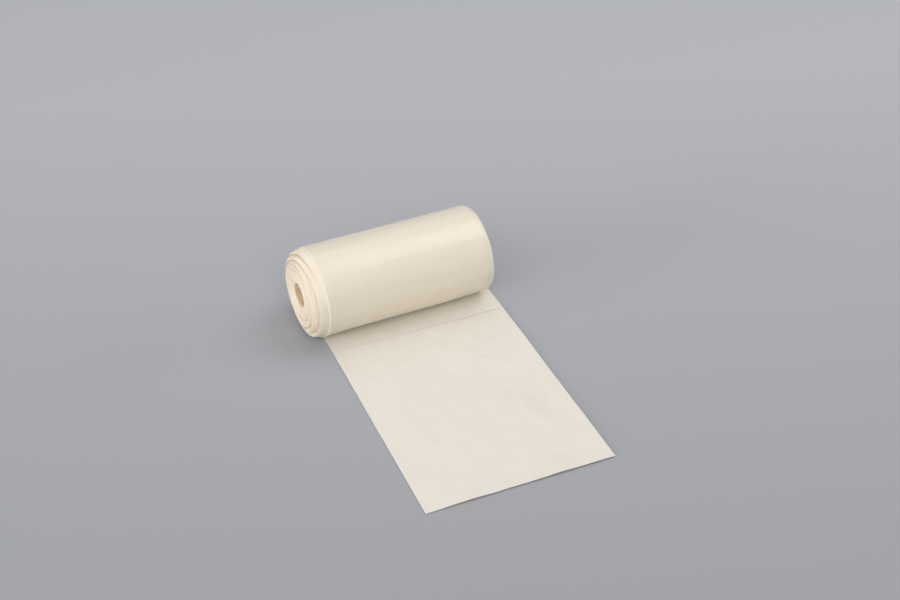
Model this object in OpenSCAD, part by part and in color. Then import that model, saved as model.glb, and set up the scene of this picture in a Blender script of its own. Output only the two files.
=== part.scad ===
// A coreless roll of dog waste bags. The bags are one long folded film web, still joined
// at their perforations, wound up on itself and lying on its side with the first bag
// pulled out flat in front. The web is wound unevenly, so its turns stand out on the left
// end and leave a shallow cup with a curled rim on the right end.
// X runs along the roll, the loose end points to -Y, and Z = 0 is the surface it lies on.
// The origin is on that surface, below the middle of the roll's axis.

/* [Film web] */
// Width of the folded web
web_w = 60; // [40:1:120]
// Thickness of the folded web, all its layers together
film_t = 0.13; // [0.1:0.01:0.3]

/* [Roll] */
// Outer diameter of the wound roll
roll_d = 29.8; // [24:0.1:60]
// Diameter of the hole through the middle
hole_d = 8.2; // [5:0.1:12]
// Turns of film in each step that shows on the ends
turns_per_step = 3; // [2:1:6]
// Width of the flat spot that the soft roll rests on
flat_w = 2.9; // [1:0.1:5]
// Step of the roll's end face from one group of turns to the next, at most
waver_x = 0.3; // [0:0.05:0.6]

/* [Left end] */
// Radius of the round shoulder that the outer turns make
shoulder_r = 4.9; // [1:0.1:8]
// How far the edge of the outermost turn lies in from the end of the roll
outer_in = 6; // [2:0.1:10]
// How far the turns round the hole lie in from the end of the roll
mouth_in = 0.9; // [0:0.1:2]
// Breadth of the dip round the hole
mouth_w = 2.6; // [1:0.1:4]

/* [Right end] */
// How far the outermost turns stand out past the inner ones, once curled in
overhang = 3.6; // [2:0.1:6]
// Radius of the curl on their edge
rim_r = 1.3; // [1.1:0.1:1.8]

/* [Loose end] */
// Length of the loose end, from the roll's contact line to the cut edge
tail_l = 94.5; // [60:0.5:300]
// Angle by which it lies askew of the roll, in degrees
tail_skew = 3; // [0:0.25:5]
// Length over which its right edge draws in to the curled rim
tail_draw = 4; // [2:0.5:8]

/* [Perforation] */
// Distance of the row of slits from the roll's contact line
perf_l = 16.2; // [12:0.1:50]
// Length of one slit
slit_l = 0.93; // [0.6:0.01:2]
// Width of one slit
slit_w = 0.2; // [0.1:0.01:0.4]
// Film left between two slits
tie_l = 0.5; // [0.3:0.01:1]

/* [Hidden] */
$fn = 96;
film_colour = "#ebe2cf";
// Slack by which a cutting shape passes the surface that it cuts
past = 1;
// Angle between the uneven groups of turns, which never falls into step with them
waver_angle = 137.5;
// Straight pieces in the quarter circle of the curled rim
rim_arc = 6;
// What winding takes off the front half of a group, as a share of its thickness. It stays
// short of a half, so that the edges of two groups never meet in one line below the hole.
wind_share = 0.37;

roll_r = roll_d / 2;
hole_r = hole_d / 2;
roll_l = web_w + overhang;
left_x = -roll_l / 2;
rim_x = roll_l / 2;
axis_z = sqrt(pow(roll_r, 2) - pow(flat_w / 2, 2));

// The turns are half circles about two centres, so they wind outwards from the hole.
// The front half of a group is smaller by wind_t and its centre higher by as much.
step_t = turns_per_step * film_t;
wind_t = wind_share * step_t;
wound_r = roll_r - film_t;
steps = floor((wound_r - hole_r) / step_t);
// The turns that curl over at the rim reach into the outermost group
rim_t = step_t + film_t / 2;
outer_x = left_x + outer_in;
tail_x = outer_x + web_w / 2 / cos(tail_skew);
slit_pitch = slit_l + tie_l;
slits = floor((web_w - tie_l) / slit_pitch);

// Outer radius of a group of turns, counted from the hole
function step_r(k) = wound_r - (steps - k) * step_t;

// How far a turn of radius r lies in from the left end on the shoulder
function shoulder_in(r) =
    let(over = max(0, r - (roll_r - shoulder_r)))
    shoulder_r - sqrt(pow(shoulder_r, 2) - pow(over, 2));

// How far it lies in at the dip round the hole
function dip_in(r) = mouth_in * pow(max(0, 1 - (r - hole_r) / mouth_w), 2);

// Place of a group's left edge; its right edge is one web width further on
function edge_x(k) =
    let(r = step_r(k) - step_t / 2)
    left_x + shoulder_in(r) + dip_in(r) + waver_x * (1 + sin(waver_angle * k)) / 2;

// Section through all the groups of turns, as radius and place along the roll.
// It begins inside the hole, which is bored later.
function turns_section(shrink) = concat(
    [for (k = [1:steps], side = [0, 1])
        [k == 1 && side == 0 ? hole_r / 2 : step_r(k + side - 1) - shrink, edge_x(k)]],
    [for (k = [steps:-1:1], side = [1, 0])
        [k == 1 && side == 0 ? hole_r / 2 : step_r(k + side - 1) - shrink, edge_x(k) + web_w]]
);

// Section through the outermost turn, with its curled rim at the right end
function outer_section(r) = concat(
    [[r - rim_t, outer_x], [r, outer_x]],
    [for (i = [0:rim_arc]) curl_point(r, rim_r, 90 - 90 * i / rim_arc)],
    [for (i = [rim_arc:-1:0]) curl_point(r, rim_r - rim_t, 90 - 90 * i / rim_arc)]
);

// Point on the curl, whose centre lies one curl radius in from the rim both ways
function curl_point(r, curl, angle) =
    [r - rim_r + curl * sin(angle), rim_x - rim_r + curl * cos(angle)];

// Half of a shape turned about the roll's axis, on the back or the front of the roll
module half_turn(front, lift) {
    translate([0, 0, axis_z + lift])
        mirror([0, front ? 1 : 0, 0])
            rotate([0, 90, 0])
                rotate_extrude(angle = 180)
                    children();
}

// Everything wound under the outermost turn
module wound_turns() {
    half_turn(front = false, lift = 0)
        polygon(turns_section(shrink = 0));
    half_turn(front = true, lift = wind_t)
        polygon(turns_section(shrink = wind_t));
}

// The outermost turn comes up the back from the loose end and runs down the front
module outermost_turn() {
    half_turn(front = false, lift = 0)
        polygon(outer_section(roll_r));
    half_turn(front = true, lift = film_t / 2)
        polygon(outer_section(roll_r - film_t / 2));
}

module wound_roll() {
    difference() {
        union() {
            wound_turns();
            outermost_turn();
        }
        // The hole
        translate([left_x - past, 0, axis_z])
            rotate([0, 90, 0])
                cylinder(r = hole_r, h = roll_l + outer_in + 2 * past);
        // The flat spot
        translate([left_x - past, -roll_r, -roll_r])
            cube([roll_l + outer_in + 2 * past, roll_d, roll_r]);
    }
}

// A place on the loose end: across it from its middle, and along it from the contact line
function tail_point(across, along) = [
    tail_x + across * cos(tail_skew) - along * sin(tail_skew),
    -across * sin(tail_skew) - along * cos(tail_skew)
];

module loose_end() {
    difference() {
        linear_extrude(height = film_t)
            polygon([
                [outer_x, 0],
                [rim_x, 0],
                tail_point(web_w / 2, tail_draw),
                tail_point(web_w / 2, tail_l),
                tail_point(-web_w / 2, tail_l)
            ]);
        perforation();
    }
}

// Slits through the film, where the first bag tears off
module perforation() {
    translate([tail_x, 0, -past])
        rotate([0, 0, -tail_skew])
            for (i = [0:slits - 1])
                translate([(i - (slits - 1) / 2) * slit_pitch - slit_l / 2, -perf_l - slit_w / 2, 0])
                    cube([slit_l, slit_w, film_t + 2 * past]);
}

module bag_roll() {
    color(film_colour) {
        union() {
            wound_roll();
            loose_end();
        }
    }
}

bag_roll();
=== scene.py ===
# A coreless roll of dog waste bags, lying on a plain grey floor with its first bag
# pulled out flat in front. The film is one long web: it starts inside the hole, winds
# outwards turn on turn, and leaves the roll's underside as the loose end. Its lengths
# are given in millimetres, and place() and tail_spot() turn them into metres.
import math

import bmesh
import bpy
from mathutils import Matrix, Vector, noise


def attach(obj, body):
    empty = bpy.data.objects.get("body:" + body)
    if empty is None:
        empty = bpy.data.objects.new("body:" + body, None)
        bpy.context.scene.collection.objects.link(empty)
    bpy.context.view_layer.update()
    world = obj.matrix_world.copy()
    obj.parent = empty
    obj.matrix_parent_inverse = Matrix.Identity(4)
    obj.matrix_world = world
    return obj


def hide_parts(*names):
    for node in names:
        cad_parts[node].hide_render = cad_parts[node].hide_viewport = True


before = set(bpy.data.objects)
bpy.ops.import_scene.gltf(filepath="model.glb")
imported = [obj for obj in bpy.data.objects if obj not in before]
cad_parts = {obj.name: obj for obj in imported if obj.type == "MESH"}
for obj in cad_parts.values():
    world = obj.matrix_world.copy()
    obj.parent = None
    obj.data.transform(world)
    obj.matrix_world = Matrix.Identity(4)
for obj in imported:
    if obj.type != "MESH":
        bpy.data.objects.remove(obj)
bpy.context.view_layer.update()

MM = 0.001

# The web, and the steps round each turn that the mesh is made of
WEB_W = 60.0
FILM_T = 0.13
TURNS = 83
SEGMENTS = 96
LAST = TURNS * SEGMENTS

# The roll, and the middle of the loose end, which lies askew
ROLL_R = 14.9
LEFT_X = -31.8
RIM_X = 31.8
TAIL_X = 4.24
SKEW = math.radians(3.0)

# The roll is a little oval and a little thicker at its left end
OVAL_Y = 1.02
OVAL_Z = 0.98
LEFT_SWELL = 1.007
RIGHT_SWELL = 0.995
# How far it sinks onto its flat spot, and how broad and how high that shows
FLAT_SAG = 0.07
FLAT_W = 1.3
FLAT_H = 4.0
# Radius of the hole, and height of the roll's axis
HOLE_R = ROLL_R - FILM_T * TURNS
AXIS_Z = OVAL_Z * ROLL_R - FLAT_SAG

# The left end: a round shoulder, a dip round the hole, and the outermost turn further in
SHOULDER_R = 4.9
DIP_IN = 0.5
DIP_W = 1.6
OUTER_IN = 1.15
OUTER_TURNS = 0.5
# Turns over which the outermost turn's edge gives way to the uneven edges of the others
EDGE_FADE = 3.0
# Unevenness of the left edge from turn to turn
LEFT_WAVER = 0.16
LEFT_WAVES = [
    {"height": 0.13, "rate": 0.31, "seed": 1},
    {"height": 0.07, "rate": 0.83, "seed": 2},
    {"height": 0.035, "rate": 2.9, "seed": 3},
]

# Edges of the wound film: how far their corners are drawn in, and how deep the groove
# between two turns is
EDGE_ROUND = 0.02
GROOVE_IN = 0.05
# Share of its thickness by which a turn's edge bends down where it stands bare, and how
# far it stands from the edge of the next turn out to be quite bare
DROOP = 0.6
BARE_X = 0.25

# The right end: the outermost turn curls in over a shallow cup
CURL_R = 1.32
CUP_X = 30.2
# Share of the full curl below which the web counts as flat
NO_CURL = 0.001
# Turns by which the curl's two layers lie apart where the loose end leaves
CURL_GAP = 0.1
# Share of the left edge's unevenness that shows on the right, and the right edge's own
RIGHT_SHARE = 0.8
RIGHT_WAVE = {"height": 0.2, "rate": 0.5, "seed": 4}
BRIM_WAVE = {"height": 0.05, "rate": 0.9, "seed": 5}

# Power by which what sags fades from the outermost turn towards the hole
SAG_POWER = 3

# Where the soft roll sags: its lower front bulges, and the rim there reaches further right
BULGE = 0.4
BULGE_TURN = 0.90
BULGE_ARC = 0.085
BULGE_X = 14.0
BULGE_W = 17.0
FLARE = 0.4
FLARE_TURN = 0.84
FLARE_ARC = 0.14
FLARE_W = 1.6

# The left end's lower rim splays: it reaches further left and stands out from the axis
SPLAY = 0.55
SPLAY_OUT = 0.50
SPLAY_TURN = 0.93
SPLAY_ARC = 0.17
SPLAY_X = -24.0
SPLAY_W = 5.0

# Small puckers where the outermost turn draws in towards the right rim
PUCKER = 0.22
PUCKER_X = 25.0
PUCKER_W = 3.0
PUCKER_TURN = 0.70
PUCKER_ARC = 0.22
PUCKER_RATE = 13.0
PUCKER_LEAN = 5.0
PUCKER_L = 1.9
PUCKER_SEED = 31

# Spans of the mesh along the wall of the hole
HOLE_COLUMNS = 12

# The film's own start, which stands off the wall of the hole. Its edges follow the web's
# edges half a turn before the web's inner end.
START_EDGES_AT = TURNS - 0.5
START_TURN = 0.02
START_ARC = 0.48
START_STEPS = 44
START_LEFT_IN = 0.10
START_RIGHT_IN = 0.35
START_GAP = 0.02
START_OFF = 2.0
START_OFF_TURN = 0.20
START_OFF_ARC = 0.36
START_OFF_POWER = 1.5
START_EDGE = {"height": 0.25, "round": 9.0, "across": 5.0, "seed": 21}
START_FACE = {"height": 0.10, "round": 8.0, "across": 9.0, "seed": 22}
# Turn past which the start has the pale look of the rim and not the hole's amber, which is
# painted shade
START_PALE_TURN = 0.27

# The loose end and its perforation
TAIL_L = 94.7
PERF_L = 16.17
SLIT_L = 0.72
SLIT_PITCH = 1.43
SLITS = 41
UNCURL_L = 5.0
ROW_PITCH = 1.6
# Width of a slit at the left, and how much wider the slits get across the web
SLIT_W = 0.18
SLIT_GAPE = 0.12
GAPE_U = -12.0
GAPE_W = 36.0

# Crumples of the loose end: height, and the spacings of the noise across and along it.
# Over the distance drift along, or slant across, it shifts by one spacing the other way.
NEVER = math.inf
CRUMPLES = [
    {"height": 0.22, "across": 21.0, "drift": NEVER, "along": 26.0, "slant": NEVER, "seed": 11},
    {"height": 0.18, "across": 7.0, "drift": 30.0, "along": 11.0, "slant": NEVER, "seed": 12},
    {"height": 0.05, "across": 3.1, "drift": NEVER, "along": 4.3, "slant": 9.0, "seed": 13},
]
# They begin past the contact line, are shallower near the left edge, and are deeper in the
# margins along both edges and the cut
CRUMPLE_FROM = 3.0
CRUMPLE_RISE = 14.0
SHALLOW = 0.3
SHALLOW_W = 14.0
MIDDLE_SHARE = 0.6
MARGIN_SHARE = 0.5
MARGIN_U = 24.0
MARGIN_W = 8.0

# Spot across the web where the curl begins: the right end of the third slit from the right
CURL_SLIT = SLITS // 2 - 2
CURL_U = CURL_SLIT * SLIT_PITCH + SLIT_L / 2
CURL_X = TAIL_X + CURL_U / math.cos(SKEW)


def smooth(t):
    """Soft step from 0 to 1."""
    t = min(1.0, max(0.0, t))
    return t * t * (3.0 - 2.0 * t)


def bump(t):
    """Soft hump from -1 to 1."""
    return smooth(1.0 - abs(t))


def ripple(x, y, seed):
    """Soft noise between about -1 and 1."""
    return noise.noise(Vector((x, y, seed * 7.31)))


def along_web(wave, s):
    """Soft noise of a wave along the wound film, s turns in from the outside."""
    return ripple(wave["rate"] * s, 0.0, wave["seed"])


def apart(turn, other):
    """How far one turn is past another, the short way round."""
    return (turn - other + 0.5) % 1.0 - 0.5


def film_r(s):
    """Radius of the film's outer side, s turns in from the outside."""
    return ROLL_R - FILM_T * s


def soften(x, r, turn):
    """Place along the roll and radius of a spot, once the soft film sags and puckers."""
    lean = bump((turn - BULGE_TURN) / BULGE_ARC) * math.exp(-(((x - BULGE_X) / BULGE_W) ** 2))
    r += BULGE * lean * (r / ROLL_R) ** SAG_POWER
    x += FLARE * bump((turn - FLARE_TURN) / FLARE_ARC) * smooth((x - CUP_X) / FLARE_W)
    low = bump(apart(turn, SPLAY_TURN) / SPLAY_ARC)
    splay = low * (r / ROLL_R) ** SAG_POWER * smooth((SPLAY_X - x) / SPLAY_W)
    x -= SPLAY * splay
    r += SPLAY_OUT * splay
    pucker = bump((turn - PUCKER_TURN) / PUCKER_ARC) * smooth((x - PUCKER_X) / PUCKER_W)
    crease = ripple(turn * PUCKER_RATE + x / PUCKER_LEAN, x / PUCKER_L, PUCKER_SEED)
    return x, r + PUCKER * pucker * crease


def place(x, r, turn):
    """Point of the roll in metres; turn 0 is the underside, 0.25 the back, 0.5 the top."""
    along = (x - LEFT_X) / (RIM_X - LEFT_X)
    swell = LEFT_SWELL + (RIGHT_SWELL - LEFT_SWELL) * along
    x, r = soften(x, r, turn)
    angle = math.tau * turn
    axis_z = OVAL_Z * ROLL_R * swell - FLAT_SAG
    y = OVAL_Y * swell * r * math.sin(angle)
    z = axis_z - OVAL_Z * swell * r * math.cos(angle)
    z += FLAT_SAG * math.exp(-((y / FLAT_W) ** 2)) * math.exp(-max(z, 0.0) / FLAT_H)
    return Vector((x, y, max(z, 0.0))) * MM


# Rings on the left end: turn at which each lies nearest the rim, middle radius and its
# swing as shares of the roll's radius, depth, breadth, and the arc that it covers
RINGS = [
    {"at": 0.78, "share": 0.930, "swing": 0.050, "depth": 1.40, "breadth": 0.28, "arc": 9.0},
    {"at": 0.73, "share": 0.820, "swing": 0.080, "depth": 1.00, "breadth": 0.24, "arc": 9.0},
    {"at": 0.50, "share": 0.690, "swing": 0.030, "depth": 0.70, "breadth": 0.24, "arc": 0.16},
    {"at": 0.45, "share": 0.590, "swing": 0.020, "depth": 0.45, "breadth": 0.24, "arc": 0.14},
    {"at": 0.62, "share": 0.900, "swing": 0.000, "depth": 1.10, "breadth": 0.14, "arc": 0.06},
    {"at": 0.61, "share": 0.850, "swing": 0.000, "depth": 1.20, "breadth": 0.14, "arc": 0.06},
    {"at": 0.93, "share": 0.560, "swing": 0.000, "depth": 0.80, "breadth": 0.18, "arc": 0.10},
    {"at": 0.90, "share": 0.720, "swing": 0.000, "depth": 0.90, "breadth": 0.16, "arc": 0.09},
    {"at": 0.86, "share": 0.840, "swing": 0.000, "depth": 0.60, "breadth": 0.16, "arc": 0.08},
]


def ring_in(r, turn):
    """How far the rings take the film's left edge in."""
    total = 0.0
    for ring in RINGS:
        away = apart(turn, ring["at"])
        middle = ROLL_R * (ring["share"] + ring["swing"] * math.cos(math.tau * away))
        across = math.exp(-(((r - middle) / ring["breadth"]) ** 2))
        total += ring["depth"] * across * math.exp(-((away / ring["arc"]) ** 2))
    return total


def left_edge(s):
    """Place along the roll of the film's left edge, s turns in from the outside."""
    r = film_r(s)
    over = max(0.0, r - (ROLL_R - SHOULDER_R))
    shoulder = SHOULDER_R - math.sqrt(SHOULDER_R ** 2 - over ** 2)
    dip = DIP_IN * max(0.0, 1.0 - (r - HOLE_R) / DIP_W) ** 2
    waver = LEFT_WAVER
    for wave in LEFT_WAVES:
        waver += wave["height"] * along_web(wave, s)
    uneven = smooth(s / EDGE_FADE) * (waver + ring_in(r, s % 1.0))
    outer = OUTER_IN * (1.0 - smooth((s - OUTER_TURNS) / EDGE_FADE))
    return LEFT_X + shoulder + dip + uneven + outer


def right_edge(s):
    """Place along the roll of the film's right edge; the cup's brim lies under the curl."""
    edge = LEFT_X + (left_edge(s) - LEFT_X) * RIGHT_SHARE + WEB_W
    edge += RIGHT_WAVE["height"] * along_web(RIGHT_WAVE, s)
    brim = CUP_X - BRIM_WAVE["height"] * (1.0 + along_web(BRIM_WAVE, s))
    return min(edge, brim)


def web_columns():
    """Places across the web, from near its left edge to its right edge, cut at the slits."""
    cuts = []
    for i in range(SLITS):
        middle = (i - (SLITS - 1) / 2) * SLIT_PITCH
        cuts += [middle - SLIT_L / 2, middle + SLIT_L / 2]
    fine = [c for c in cuts if c > CURL_U]
    ends = zip([CURL_U] + fine, fine + [WEB_W / 2])
    halves = [(a + b) / 2 for a, b in ends]
    return sorted(cuts + halves + [WEB_W / 2])


COLUMNS = web_columns()
FIRST_CURL = len([u for u in COLUMNS if u <= CURL_U]) - 1


def in_slit(u):
    """Whether a place across the web lies on a slit and not on the film between two."""
    i = round(u / SLIT_PITCH)
    return abs(i) <= SLITS // 2 and abs(u - i * SLIT_PITCH) < SLIT_L / 2


def bend(u, curl):
    """Place along the roll and height of a spot on the web, its right edge curled up."""
    past = u - CURL_U
    if past <= 0.0:
        return TAIL_X + u / math.cos(SKEW), 0.0
    if curl < NO_CURL:
        return CURL_X + past, 0.0
    angle = past * curl / CURL_R
    radius = CURL_R / curl
    return CURL_X + radius * math.sin(angle), radius * (1.0 - math.cos(angle))


# Kinds of face on the film's mesh, in the order of its materials
BODY, ENDS, SHEET, CURL, HOLE = 0, 1, 2, 3, 4
# Kinds of face on the mesh of the film's start: its pale part, and its deep part in the hole's
# painted shade
START_PALE, START_DEEP_SHADED = 0, 1


class Web:
    """Collects the vertices and faces of a mesh."""

    def __init__(self):
        self.verts = []
        self.faces = []
        self.kinds = []

    def point(self, co):
        """Adds a vertex and returns its number."""
        self.verts.append(co)
        return len(self.verts) - 1

    def face(self, ids, kind):
        """Adds a face, leaving out corners that meet."""
        kept = [v for k, v in enumerate(ids) if v != ids[k - 1]]
        if len(kept) > 2:
            self.faces.append(kept)
            self.kinds.append(kind)

    def strip(self, near, far, kind):
        """Joins two rows of vertices by a strip of faces."""
        for k in range(len(near) - 1):
            self.face((near[k], near[k + 1], far[k + 1], far[k]), kind)


def outer_row(web, s, columns):
    """Outer side of the outermost turn: its columns, with the curl on the right. One
    turn further in, it is the same film's inner side."""
    row = []
    for u in columns:
        x, into = bend(u, 1.0)
        scale = (CURL_R - FILM_T * s) / CURL_R
        if into > 0.0:
            x = CURL_X + (x - CURL_X) * scale
        row.append(web.point(place(x, film_r(s) - into * scale, s % 1.0)))
    return row


def make_roll(web):
    """The wound roll. Returns the rows of vertices that the loose end starts from."""
    curled = COLUMNS[FIRST_CURL:]
    outer = [outer_row(web, i / SEGMENTS, COLUMNS) for i in range(SEGMENTS + 1)]
    inner = [[outer[SEGMENTS][FIRST_CURL]] + outer_row(web, 1.0 - CURL_GAP, curled[1:])]
    for i in range(1, SEGMENTS + 1):
        inner.append(outer_row(web, 1.0 + i / SEGMENTS, curled))
    left = spiral_edge(web, left_edge, True, outer[SEGMENTS][0])
    right = spiral_edge(web, right_edge, False, inner[0][0])
    hole = hole_rows(web, left, right)
    outermost_turn(web, outer, inner, left, right)
    join_edge(web, left, hole, True)
    join_edge(web, right, hole, False)
    hole_wall(web, left, right, hole)
    high = outer[SEGMENTS][:FIRST_CURL] + inner[0]
    return outer[0], high, left["out"][0], left["in"][0]


def outermost_turn(web, outer, inner, left, right):
    """Faces of the outermost turn and of its curl, down to the cup's brim."""
    for i in range(SEGMENTS):
        j = i + 1
        near = [left["out"][i]] + outer[i][:FIRST_CURL + 1]
        far = [left["out"][j]] + outer[j][:FIRST_CURL + 1]
        web.strip(near, far, BODY)
        web.strip(outer[i][FIRST_CURL:], outer[j][FIRST_CURL:], CURL)
        web.face((outer[i][-1], inner[i][-1], inner[j][-1], outer[j][-1]), CURL)
        web.strip(inner[j], inner[i], CURL)
        m = i + SEGMENTS
        brim = (inner[i][0], inner[j][0], right["groove"][m + 1], right["groove"][m])
        web.face(brim, ENDS)
    web.strip(outer[SEGMENTS][FIRST_CURL:], inner[SEGMENTS], CURL)
    m = SEGMENTS
    step = (right["out"][m], right["in"][m], right["groove"][2 * m])
    web.face((inner[0][0], *step, inner[m][0]), ENDS)


def hole_wall(web, left, right, hole):
    """Faces of the wall of the hole, with the step at the film's inner end."""
    for i in range(LAST - SEGMENTS, LAST):
        web.strip(hole[i + 1], hole[i], HOLE)
    start = hole[LAST - SEGMENTS]
    end = hole[LAST]
    web.strip(start, end, HOLE)
    web.face((start[0], left["out"][LAST], left["in"][LAST], end[0])[::-1], ENDS)
    web.face((start[-1], right["out"][LAST], right["in"][LAST], end[-1]), ENDS)


def spiral_edge(web, edge, is_left, first_groove):
    """One edge of the wound film: an outer and an inner corner, and the groove between
    a turn and the next one out."""
    rows = {"out": {}, "in": {}, "groove": {SEGMENTS: first_groove}}
    begin = 0 if is_left else SEGMENTS
    places = [edge(i / SEGMENTS) for i in range(LAST + 1)]
    for i in range(begin, LAST + 1):
        s = i / SEGMENTS
        turn = s % 1.0
        x = places[i]
        bare = smooth(abs(x - places[max(i - SEGMENTS, 0)]) / BARE_X)
        top = EDGE_ROUND + DROOP * FILM_T * bare if i >= SEGMENTS else 0.0
        rows["out"][i] = web.point(place(x, film_r(s) - top, turn))
        rows["in"][i] = web.point(place(x, film_r(s + 1.0) + EDGE_ROUND, turn))
    for i in range(SEGMENTS + 1, LAST + 1):
        s = i / SEGMENTS
        x = groove_x(places, i, is_left)
        rows["groove"][i] = web.point(place(x, film_r(s), s % 1.0))
    return rows


def groove_x(places, i, is_left):
    """Place along the roll of the groove between a turn and the next one out. The brim
    of the cup has no turn further out, only the curl over it."""
    is_brim = not is_left and i < 2 * SEGMENTS
    beside = i if is_brim else i - SEGMENTS
    if is_left:
        return max(places[i], places[beside]) + GROOVE_IN
    return min(places[i], places[beside]) - GROOVE_IN


def join_edge(web, rows, hole, is_left):
    """Faces along one edge of the wound film, from turn to turn and on to the hole."""
    begin = 0 if is_left else SEGMENTS
    side = 0 if is_left else -1
    for i in range(begin, LAST):
        j = i + 1
        quads = []
        if i >= SEGMENTS:
            quads.append((rows["groove"][i], rows["out"][i], rows["out"][j], rows["groove"][j]))
        quads.append((rows["out"][i], rows["in"][i], rows["in"][j], rows["out"][j]))
        if i < LAST - SEGMENTS:
            m = i + SEGMENTS
            inner = (rows["groove"][m], rows["groove"][m + 1])
        else:
            inner = (hole[i][side], hole[j][side])
        quads.append((rows["in"][i], inner[0], inner[1], rows["in"][j]))
        for quad in quads:
            web.face(quad[::-1] if is_left else quad, ENDS)


def hole_rows(web, left, right):
    """Rows of vertices along the wall of the hole. The first ends in the grooves of the
    film's inner end."""
    first = LAST - SEGMENTS
    rows = {}
    for i in range(first, LAST + 1):
        s = i / SEGMENTS
        x0 = left_edge(s) + GROOVE_IN
        x1 = right_edge(s) - GROOVE_IN
        places = [x0 + (x1 - x0) * k / HOLE_COLUMNS for k in range(HOLE_COLUMNS + 1)]
        inner = places[1:-1] if i == first else places
        rows[i] = [web.point(place(x, film_r(s + 1.0), s % 1.0)) for x in inner]
    rows[first] = [left["groove"][LAST]] + rows[first] + [right["groove"][LAST]]
    return rows


def slit_w(u):
    """Width of a slit: they gape most at the right, where the film is drawn tight."""
    return SLIT_W + SLIT_GAPE * smooth((u - GAPE_U) / GAPE_W)


def crumple(u, v):
    """Height by which the loose end stands off the floor."""
    height = 0.0
    for fold in CRUMPLES:
        across = u / fold["across"] + v / fold["drift"]
        along = v / fold["along"] + u / fold["slant"]
        height += fold["height"] * (1.0 + ripple(across, along, fold["seed"]))
    margin = max(abs(u) - MARGIN_U, v - (TAIL_L - MARGIN_W), 0.0) / MARGIN_W
    rise = smooth((v - CRUMPLE_FROM) / CRUMPLE_RISE)
    depth = SHALLOW + (1.0 - SHALLOW) * smooth((u + WEB_W / 2) / SHALLOW_W)
    return rise * depth * height * (MIDDLE_SHARE + MARGIN_SHARE * margin)


def tail_spot(u, v, up):
    """Point of the loose end in metres, on its lower or, with up, its upper side."""
    curl = smooth(1.0 - v / UNCURL_L)
    x, lift = bend(u, curl)
    across = (x - TAIL_X) * math.cos(SKEW)
    level = v - across * math.tan(SKEW) * max(0.0, 1.0 - v / UNCURL_L)
    return Vector((
        TAIL_X + across * math.cos(SKEW) - level * math.sin(SKEW),
        -across * math.sin(SKEW) - level * math.cos(SKEW),
        lift + crumple(u, v) + (FILM_T if up else 0.0),
    )) * MM


def tail_rows():
    """Rows along the loose end: distance, and the side of the slits that a row lies on.
    They lie closest together by the roll and by the slits."""
    near = [0.4, 0.9, 1.5, 2.2, 3.0, 3.9, 4.9, 6.0, 7.4, 8.9, 10.4, 12.0, 13.5, 14.8, 15.5]
    far = [16.9, 17.8, 19.0]
    count = round((TAIL_L - far[-1]) / ROW_PITCH)
    span = (TAIL_L - far[-1]) / count
    far += [far[-1] + span * (k + 1) for k in range(count)]
    rows = [(v, 0) for v in near] + [(PERF_L, -1), (PERF_L, 1)]
    return rows + [(v, 0) for v in far]


def make_tail(web, low, high, left_low, left_high):
    """The loose end, from the roll's underside to the cut edge."""
    low = [left_low] + low
    high = [left_high] + high
    places = [-WEB_W / 2] + COLUMNS
    for v, side in tail_rows():
        spots = [(u, v + side * slit_w(u) / 2) for u in places]
        new_low = [web.point(tail_spot(u, w, False)) for u, w in spots]
        new_high = [web.point(tail_spot(u, w, True)) for u, w in spots]
        if side > 0:
            slit_strip(web, places, low, high, new_low, new_high)
        else:
            web.strip(low, new_low, SHEET)
            web.strip(new_high, high, SHEET)
        web.face((low[0], high[0], new_high[0], new_low[0])[::-1], SHEET)
        web.face((low[-1], high[-1], new_high[-1], new_low[-1]), SHEET)
        low, high = new_low, new_high
    web.strip(low, high, SHEET)


def slit_strip(web, places, low, high, new_low, new_high):
    """The row of film between the slits, and the walls of the slits."""
    def open_at(k):
        inside = 0 <= k < len(places) - 1
        return inside and in_slit((places[k] + places[k + 1]) / 2)

    for k in range(len(places) - 1):
        e = k + 1
        if not open_at(k):
            web.face((low[k], low[e], new_low[e], new_low[k]), SHEET)
            web.face((new_high[k], new_high[e], high[e], high[k]), SHEET)
            continue
        web.face((low[k], low[e], high[e], high[k]), SHEET)
        web.face((new_high[k], new_high[e], new_low[e], new_low[k]), SHEET)
        if not open_at(k - 1):
            web.face((low[k], high[k], new_high[k], new_low[k]), SHEET)
        if not open_at(k + 1):
            web.face((low[e], high[e], new_high[e], new_low[e])[::-1], SHEET)


def start_ripple(wave, turn, share):
    """Unevenness of the film's start, at a turn and a share of its width."""
    return wave["height"] * ripple(turn * wave["round"], share * wave["across"], wave["seed"])


def make_start(web):
    """The film's start: it goes on from the last turn and stands off the hole's wall."""
    shares = [0.0, 0.01, 0.03, 0.06, 0.12, 0.25, 0.5, 0.75, 0.88, 0.94, 0.97, 0.99, 1.0]
    x0 = left_edge(START_EDGES_AT) + START_LEFT_IN
    x1 = right_edge(START_EDGES_AT) - START_RIGHT_IN
    near = []
    for k in range(START_STEPS + 1):
        turn = START_TURN + START_ARC * k / START_STEPS
        rise = smooth((turn - START_OFF_TURN) / START_OFF_ARC) ** START_OFF_POWER
        r = film_r(TURNS + turn) - (START_GAP + START_OFF * rise)
        ring = []
        for share in shares:
            x = x0 + (x1 - x0) * share + start_ripple(START_EDGE, turn, share)
            ring.append((x, r + start_ripple(START_FACE, turn, share)))
        outer = [web.point(place(x, q, turn)) for x, q in ring]
        inner = [web.point(place(x, q - FILM_T, turn)) for x, q in ring]
        loop = outer + inner[::-1]
        if near:
            kind = START_PALE if turn > START_PALE_TURN else START_DEEP_SHADED
            web.strip(near + near[:1], loop + loop[:1], kind)
        else:
            web.strip(outer, inner, START_PALE)
        near = loop
    half = len(near) // 2
    web.strip(near[:half], near[half:][::-1], START_PALE)


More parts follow.
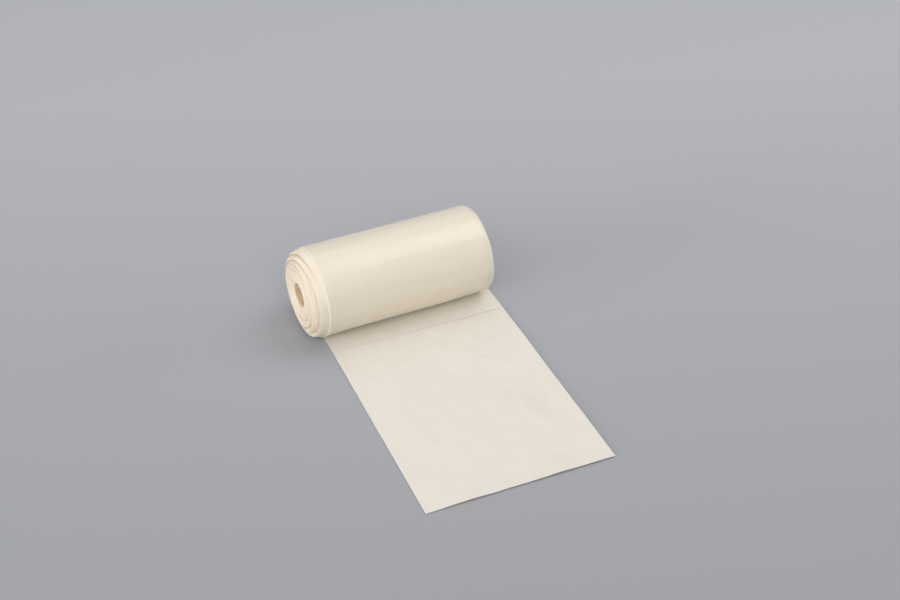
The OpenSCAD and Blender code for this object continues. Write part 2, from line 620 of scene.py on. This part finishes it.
def make_object(name, web, materials, sharp_angle):
    """Turns the collected vertices and faces into an object of the scene."""
    mesh = bpy.data.meshes.new(name)
    mesh.from_pydata([tuple(v) for v in web.verts], [], web.faces)
    shape = bmesh.new()
    shape.from_mesh(mesh)
    bmesh.ops.recalc_face_normals(shape, faces=shape.faces)
    shape.to_mesh(mesh)
    shape.free()
    for material in materials:
        mesh.materials.append(material)
    mesh.polygons.foreach_set("material_index", web.kinds)
    mesh.polygons.foreach_set("use_smooth", [True] * len(mesh.polygons))
    mesh.set_sharp_from_angle(angle=sharp_angle)
    mesh.update()
    piece = bpy.data.objects.new(name, mesh)
    bpy.context.scene.collection.objects.link(piece)
    return piece


# Distances from the axis between which the ends turn from the pale painted highlight by the hole
# to their own tint, and from their own to the rim's
CORE_HIGHLIGHT_BLEND = (5.5, 12.5)
RIM_BLEND = (12.6, 14.0)
# The film's face: weight of the drawn-out wrinkles against the others, strength and depth
# of them all, in metres, and how much rougher or smoother the film gets with them
LINES_WEIGHT = 3.0
RELIEF_STRENGTH = 0.8
RELIEF_DEPTH = 0.00012
GLOSS_SPREAD = 0.06
# How far light wanders inside the film, in metres, and how much of that in each colour
SCATTER = 0.0006
SCATTER_TINT = (1.0, 0.9, 0.7)


def node(tree, kind, **inputs):
    """Adds a shader node and sets its inputs."""
    made = tree.nodes.new(kind)
    for key, value in inputs.items():
        made.inputs[key.replace("_", " ")].default_value = value
    return made


def maths(tree, kind, operation):
    """Adds a node that computes."""
    made = tree.nodes.new(kind)
    made.operation = operation
    return made


def mixed(tree):
    """Adds a node that mixes two colours."""
    made = tree.nodes.new("ShaderNodeMix")
    made.data_type = "RGBA"
    return made


def axis_share(tree, coords, span):
    """How far a spot lies from the roll's axis, from 0 to 1 over a span of distances."""
    offset = maths(tree, "ShaderNodeVectorMath", "SUBTRACT")
    offset.inputs[1].default_value = (0.0, 0.0, AXIS_Z * MM)
    flat = maths(tree, "ShaderNodeVectorMath", "MULTIPLY")
    flat.inputs[1].default_value = (0.0, 1.0, 1.0)
    length = maths(tree, "ShaderNodeVectorMath", "LENGTH")
    near, far = span
    reach = node(tree, "ShaderNodeMapRange", From_Min=near * MM, From_Max=far * MM)
    reach.interpolation_type = "SMOOTHSTEP"
    tree.links.new(coords.outputs["Object"], offset.inputs[0])
    tree.links.new(offset.outputs["Vector"], flat.inputs[0])
    tree.links.new(flat.outputs["Vector"], length.inputs[0])
    tree.links.new(length.outputs["Value"], reach.inputs["Value"])
    return reach.outputs["Result"]


def film_colour(tree, coords, tint, clouded, core_highlight, rim):
    """Colour that clouds a little between two tints. With a core and a rim tint, it turns to
    those tints near the hole and on the outermost turns; the pale core tint is painted
    highlight."""
    clouds = node(tree, "ShaderNodeTexNoise", Scale=55.0, Detail=3.0)
    colours = mixed(tree)
    colours.inputs["A"].default_value = tint
    colours.inputs["B"].default_value = clouded
    tree.links.new(coords.outputs["Object"], clouds.inputs["Vector"])
    tree.links.new(clouds.outputs["Fac"], colours.inputs["Factor"])
    if not core_highlight:
        return colours.outputs["Result"]
    blend = mixed(tree)
    blend.inputs["A"].default_value = core_highlight
    tree.links.new(axis_share(tree, coords, CORE_HIGHLIGHT_BLEND), blend.inputs["Factor"])
    tree.links.new(colours.outputs["Result"], blend.inputs["B"])
    outer = mixed(tree)
    outer.inputs["B"].default_value = rim
    tree.links.new(axis_share(tree, coords, RIM_BLEND), outer.inputs["Factor"])
    tree.links.new(blend.outputs["Result"], outer.inputs["A"])
    return outer.outputs["Result"]


def film_face(tree, coords, shader, roughness, grain):
    """Soft wrinkles drawn out by grain, in the film's relief and in its gloss."""
    stretch = node(tree, "ShaderNodeMapping", Scale=grain)
    lines = node(tree, "ShaderNodeTexNoise", Scale=260.0, Detail=2.0)
    wrinkles = node(tree, "ShaderNodeTexNoise", Scale=160.0, Detail=4.0)
    heights = maths(tree, "ShaderNodeMath", "MULTIPLY_ADD")
    heights.inputs[1].default_value = LINES_WEIGHT
    relief = node(tree, "ShaderNodeBump", Strength=RELIEF_STRENGTH, Distance=RELIEF_DEPTH)
    tree.links.new(coords.outputs["Object"], stretch.inputs["Vector"])
    tree.links.new(stretch.outputs["Vector"], lines.inputs["Vector"])
    tree.links.new(coords.outputs["Object"], wrinkles.inputs["Vector"])
    tree.links.new(lines.outputs["Fac"], heights.inputs[0])
    tree.links.new(wrinkles.outputs["Fac"], heights.inputs[2])
    tree.links.new(heights.outputs["Value"], relief.inputs["Height"])
    tree.links.new(relief.outputs["Normal"], shader.inputs["Normal"])
    smoothest = roughness - GLOSS_SPREAD
    roughest = roughness + GLOSS_SPREAD
    gloss = node(tree, "ShaderNodeMapRange", To_Min=smoothest, To_Max=roughest)
    tree.links.new(wrinkles.outputs["Fac"], gloss.inputs["Value"])
    tree.links.new(gloss.outputs["Result"], shader.inputs["Roughness"])


def film_material(name, tint, clouded, roughness, weight=0.0, core_highlight=None, rim=None,
                  ior=1.48, grain=(0.2, 1.0, 1.0)):
    """Film with a satin face, in which light wanders as far as weight says."""
    material = bpy.data.materials.new(name)
    material.use_nodes = True
    tree = material.node_tree
    tree.nodes.clear()
    out = tree.nodes.new("ShaderNodeOutputMaterial")
    shader = tree.nodes.new("ShaderNodeBsdfPrincipled")
    coords = tree.nodes.new("ShaderNodeTexCoord")
    colour = film_colour(tree, coords, tint, clouded, core_highlight, rim)
    tree.links.new(colour, shader.inputs["Base Color"])
    film_face(tree, coords, shader, roughness, grain)
    shader.inputs["IOR"].default_value = ior
    shader.inputs["Subsurface Weight"].default_value = weight
    shader.inputs["Subsurface Radius"].default_value = SCATTER_TINT
    shader.inputs["Subsurface Scale"].default_value = SCATTER
    tree.links.new(shader.outputs["BSDF"], out.inputs["Surface"])
    return material


# Greys of the floor in front and at the back, where each is reached in metres, and the
# way that they change along; the change from one to the other is painted light falloff
FLOOR_FRONT_SHADED = (0.271, 0.276, 0.294, 1.0)
FLOOR_BACK_LIT = (0.450, 0.459, 0.483, 1.0)
FLOOR_FRONT_AT = -0.30
FLOOR_BACK_AT = 0.16
FLOOR_FALLOFF_WAY = (0.35, 1.0, 0.0)
FLOOR_ROUGHNESS = 0.9
FLOOR_SPECULAR = 0.1
# The floor's half width and how far it lies below the roll, in metres
FLOOR_HALF = 1.5
FLOOR_Z = -0.00002


def floor_material():
    """Grey with painted light falloff: darker in front and a little lighter towards the back."""
    material = bpy.data.materials.new("floor_grey_painted_falloff")
    material.use_nodes = True
    tree = material.node_tree
    shader = tree.nodes["Principled BSDF"]
    shader.inputs["Roughness"].default_value = FLOOR_ROUGHNESS
    shader.inputs["Specular IOR Level"].default_value = FLOOR_SPECULAR
    coords = tree.nodes.new("ShaderNodeTexCoord")
    along = maths(tree, "ShaderNodeVectorMath", "DOT_PRODUCT")
    along.inputs[1].default_value = FLOOR_FALLOFF_WAY
    reach = node(tree, "ShaderNodeMapRange", From_Min=FLOOR_FRONT_AT, From_Max=FLOOR_BACK_AT)
    ramp = tree.nodes.new("ShaderNodeValToRGB")
    ramp.color_ramp.elements[0].color = FLOOR_FRONT_SHADED
    ramp.color_ramp.elements[1].color = FLOOR_BACK_LIT
    tree.links.new(coords.outputs["Object"], along.inputs[0])
    tree.links.new(along.outputs["Value"], reach.inputs["Value"])
    tree.links.new(reach.outputs["Result"], ramp.inputs["Fac"])
    tree.links.new(ramp.outputs["Color"], shader.inputs["Base Color"])
    return material


def make_floor():
    """The plain floor, just under the roll."""
    mesh = bpy.data.meshes.new("floor")
    ways = [(-1, -1), (1, -1), (1, 1), (-1, 1)]
    corners = [(FLOOR_HALF * x, FLOOR_HALF * y, FLOOR_Z) for x, y in ways]
    mesh.from_pydata(corners, [], [(0, 1, 2, 3)])
    mesh.materials.append(floor_material())
    floor = bpy.data.objects.new("floor", mesh)
    bpy.context.scene.collection.objects.link(floor)


# Soft boxes round the roll: place and size in metres, and the level that each gives
AIM = (0.0, -0.02, 0.01)
LAMPS = [
    {"name": "front_box", "spot": (-0.29, -1.08, 1.00), "size": 0.90, "level": 0.31},
    {"name": "side_box", "spot": (-1.01, -0.70, 0.86), "size": 0.90, "level": 0.23},
    {"name": "left_box", "spot": (-2.99, 0.02, 0.24), "size": 1.40, "level": 0.72},
    {"name": "right_box", "spot": (2.86, -0.76, 0.52), "size": 1.40, "level": 0.16},
    {"name": "high_box", "spot": (0.79, -0.03, 1.27), "size": 0.90, "level": 0.31},
    {"name": "back_box", "spot": (0.07, 0.81, 1.26), "size": 0.90, "level": 0.11},
]
# Light from all round, and the grey that shows past the floor
AROUND_COLOUR = (1.0, 1.0, 1.0, 1.0)
AROUND_LEVEL = 0.35
BACKDROP = (0.470, 0.482, 0.505, 1.0)


def area_light(name, spot, size, level):
    """A soft box whose light gives a surface that faces it the level asked for."""
    light = bpy.data.lights.new(name, "AREA")
    light.shape = "SQUARE"
    light.size = size
    way = Vector(AIM) - Vector(spot)
    light.energy = level * math.pi ** 2 * way.length_squared
    lamp = bpy.data.objects.new(name, light)
    lamp.location = spot
    lamp.rotation_euler = way.to_track_quat("-Z", "Y").to_euler()
    bpy.context.scene.collection.objects.link(lamp)


def make_world():
    """Even light from all round, which the camera sees as plain grey."""
    world = bpy.data.worlds.new("studio")
    world.use_nodes = True
    tree = world.node_tree
    around = tree.nodes["Background"]
    around.inputs["Color"].default_value = AROUND_COLOUR
    around.inputs["Strength"].default_value = AROUND_LEVEL
    seen = node(tree, "ShaderNodeBackground", Color=BACKDROP)
    path = tree.nodes.new("ShaderNodeLightPath")
    mix = tree.nodes.new("ShaderNodeMixShader")
    tree.links.new(path.outputs["Is Camera Ray"], mix.inputs["Fac"])
    tree.links.new(around.outputs["Background"], mix.inputs[1])
    tree.links.new(seen.outputs["Background"], mix.inputs[2])
    tree.links.new(mix.outputs["Shader"], tree.nodes["World Output"].inputs["Surface"])
    bpy.context.scene.world = world


def make_camera():
    """The photograph's viewpoint, found from the roll's and the loose end's outlines."""
    spot = Vector((-150.53, -353.14, 287.63)) * MM
    azimuth = math.radians(-26.097)
    elevation = math.radians(36.63)
    back = Vector((
        math.sin(azimuth) * math.cos(elevation),
        -math.cos(azimuth) * math.cos(elevation),
        math.sin(elevation),
    ))
    lens = bpy.data.cameras.new("camera")
    lens.sensor_width = 36.0
    lens.lens = 57.43
    lens.clip_start = 0.01
    camera = bpy.data.objects.new("camera", lens)
    camera.location = spot
    camera.rotation_euler = back.to_track_quat("Z", "Y").to_euler()
    bpy.context.scene.collection.objects.link(camera)
    bpy.context.scene.camera = camera


def hand_over(piece):
    """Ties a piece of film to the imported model."""
    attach(piece, "root")
    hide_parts("bag_roll")


# Tints of the film, each with the one that it clouds to: cream round the roll, peach on the
# ends with a pale painted highlight by the hole and honey on the outermost turns, sand on
# the loose end, which is the cream painted darker as shade, and amber painted as shade in the
# hole
CREAM = (0.778, 0.706, 0.585, 1.0)
CREAM_LIGHT = (0.798, 0.733, 0.622, 1.0)
HONEY = (0.815, 0.733, 0.605, 1.0)
PEACH = (0.825, 0.728, 0.575, 1.0)
PEACH_LIGHT = (0.845, 0.755, 0.615, 1.0)
PALE_PAINTED_HIGHLIGHT = (0.870, 0.785, 0.660, 1.0)
# Sand: the roll's own film, its cream painted darker and greyer as shade on the loose end
SAND_PAINTED_SHADE = (0.719, 0.674, 0.598, 1.0)
SAND_PAINTED_SHADE_LIGHT = (0.746, 0.702, 0.630, 1.0)
# Amber: painted shade deep in the hole, on the same film as the rest
AMBER_PAINTED_SHADE = (0.85, 0.68, 0.44, 1.0)
AMBER_PAINTED_SHADE_DEEP = (0.82, 0.64, 0.40, 1.0)
# Angles past which an edge of each mesh shows sharp
WEB_SHARP = math.radians(35.0)
START_SHARP = math.radians(50.0)


def make_film():
    """Both pieces of film, with their materials."""
    wound = film_material("film_wound", CREAM, CREAM_LIGHT, roughness=0.36, weight=1.0, ior=1.66)
    # The ends turn to a pale painted highlight near the hole
    ends = film_material("film_ends", PEACH, PEACH_LIGHT, roughness=0.5, core_highlight=PALE_PAINTED_HIGHLIGHT, rim=HONEY)
    # The loose end's tint is painted shade: the same film as the roll, made darker and greyer
    sheet = film_material("film_sheet_painted_shade", SAND_PAINTED_SHADE, SAND_PAINTED_SHADE_LIGHT, roughness=0.45, grain=(0.6, 0.6, 1.0))
    curl = film_material("film_curl", CREAM, CREAM_LIGHT, roughness=0.42)
    # The hole's amber tint is painted shade
    hole = film_material("film_hole_painted_shade", AMBER_PAINTED_SHADE, AMBER_PAINTED_SHADE_DEEP, roughness=0.5)
    web = Web()
    make_tail(web, *make_roll(web))
    hand_over(make_object("film_web", web, [wound, ends, sheet, curl, hole], WEB_SHARP))
    start = Web()
    make_start(start)
    hand_over(make_object("film_start", start, [curl, hole], START_SHARP))


make_camera()
make_floor()
make_world()
for lamp_values in LAMPS:
    area_light(**lamp_values)
make_film()
bpy.context.scene.view_settings.view_transform = "Standard"
